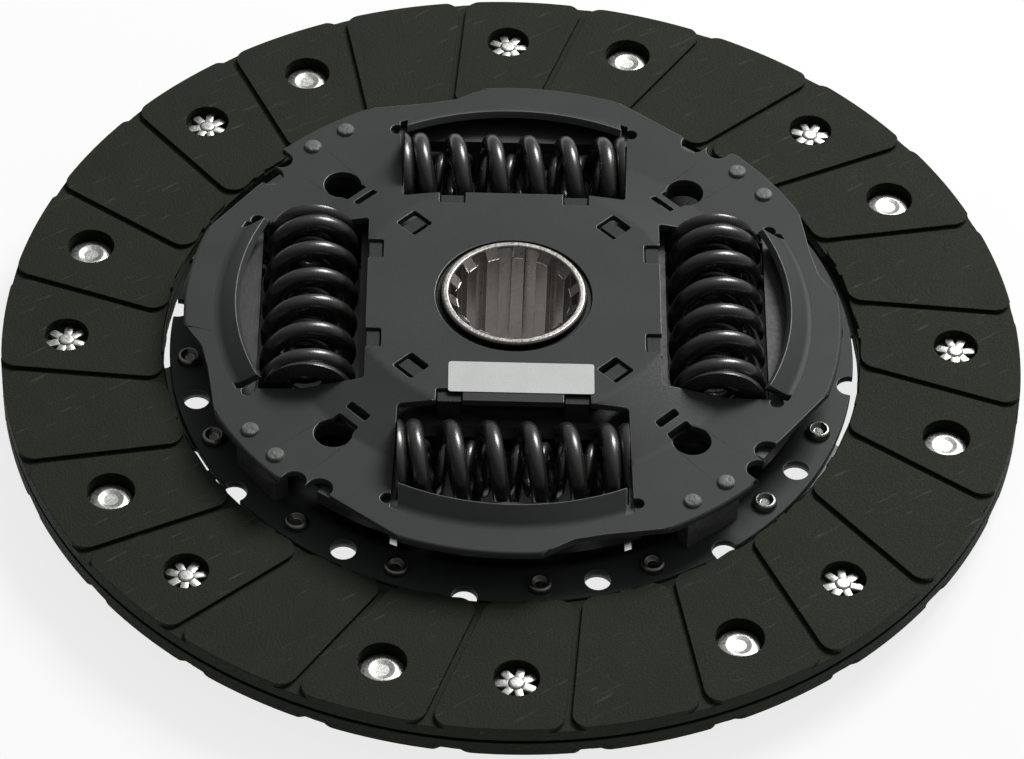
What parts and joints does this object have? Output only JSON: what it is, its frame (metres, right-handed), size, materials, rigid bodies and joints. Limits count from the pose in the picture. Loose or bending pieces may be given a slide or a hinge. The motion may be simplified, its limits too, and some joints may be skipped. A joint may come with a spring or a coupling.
{
  "type": "clutch disc",
  "caption": "Dry clutch disc with riveted grooved facings on cushion segments, a splined hub and a torsion damper of coil springs in windowed plates",
  "frame": {"origin": "on the shaft axis, in the plane of the hub's rear end, the end towards the flywheel", "axes": "+Z along the shaft towards the gearbox, the side with the dished cover plate; the four spring windows lie on +X, +Y, -X and -Y"},
  "size_m": [0.2, 0.2, 0.0271],
  "materials": {
    "friction_lining": "dark grey-green moulded friction lining with fine fibres, ground flat",
    "plated_rivets": "bright plated steel, lightly mottled where it was upset",
    "segment_steel": "hardened spring strip, dark grey",
    "plate_steel": "phosphated sheet steel, blue-grey, satin",
    "tab_steel": "phosphated flat bar with staked ends",
    "ring_plastic": "pale grey reinforced plastic",
    "damper_spring_steel": "hardened spring steel, plain",
    "hub_steel": "broached and turned forged steel, oiled",
    "flange_steel": "plain pressed steel",
    "coil_spring_steel": "oiled black spring wire, glossy",
    "label_film": "plain off-white blank sticker"
  },
  "bodies": {
    "disc": {"front_facing": "friction_lining", "rear_facing": "friction_lining", "cushion_segment_1": "segment_steel", "cushion_segment_2": "segment_steel", "cushion_segment_3": "segment_steel", "cushion_segment_4": "segment_steel", "cushion_segment_5": "segment_steel", "cushion_segment_6": "segment_steel", "cushion_segment_7": "segment_steel", "cushion_segment_8": "segment_steel", "front_facing_rivets": "plated_rivets", "rear_facing_rivets": "plated_rivets", "segment_rivets": "plated_rivets", "drive_plate": "plate_steel", "cover_plate": "plate_steel", "spacer_tab_1": "tab_steel", "spacer_tab_2": "tab_steel", "spacer_tab_3": "tab_steel", "spacer_tab_4": "tab_steel", "front_friction_ring": "ring_plastic", "rear_friction_ring": "ring_plastic", "front_disc_spring": "damper_spring_steel", "rear_disc_spring": "damper_spring_steel", "support_ring": "damper_spring_steel", "label": "label_film"},
    "hub": {"hub": "hub_steel", "hub_flange": "flange_steel"},
    "springs": {"outer_spring_1": "coil_spring_steel", "outer_spring_2": "coil_spring_steel", "outer_spring_3": "coil_spring_steel", "outer_spring_4": "coil_spring_steel", "inner_spring_1": "coil_spring_steel", "inner_spring_2": "coil_spring_steel", "inner_spring_3": "coil_spring_steel", "inner_spring_4": "coil_spring_steel"}
  },
  "joints": [
    {"name": "hub_twist", "type": "hinge", "parent": "disc", "child": "hub", "pos_m": [0, 0, 0.0177], "axis": [0, 0, 1], "range_deg": [-8, 8], "stiffness_Nm_per_rad": 760, "deforming": ["outer_spring_1", "outer_spring_2", "outer_spring_3", "outer_spring_4", "inner_spring_1", "inner_spring_2", "inner_spring_3", "inner_spring_4"]},
    {"name": "spring_shift", "type": "hinge", "parent": "disc", "child": "springs", "pos_m": [0, 0, 0.0177], "axis": [0, 0, 1], "range_deg": [-4, 4]}
  ],
  "couplings": [
    {"joint": "spring_shift", "follows": "hub_twist", "ratio": 0.5}
  ]
}
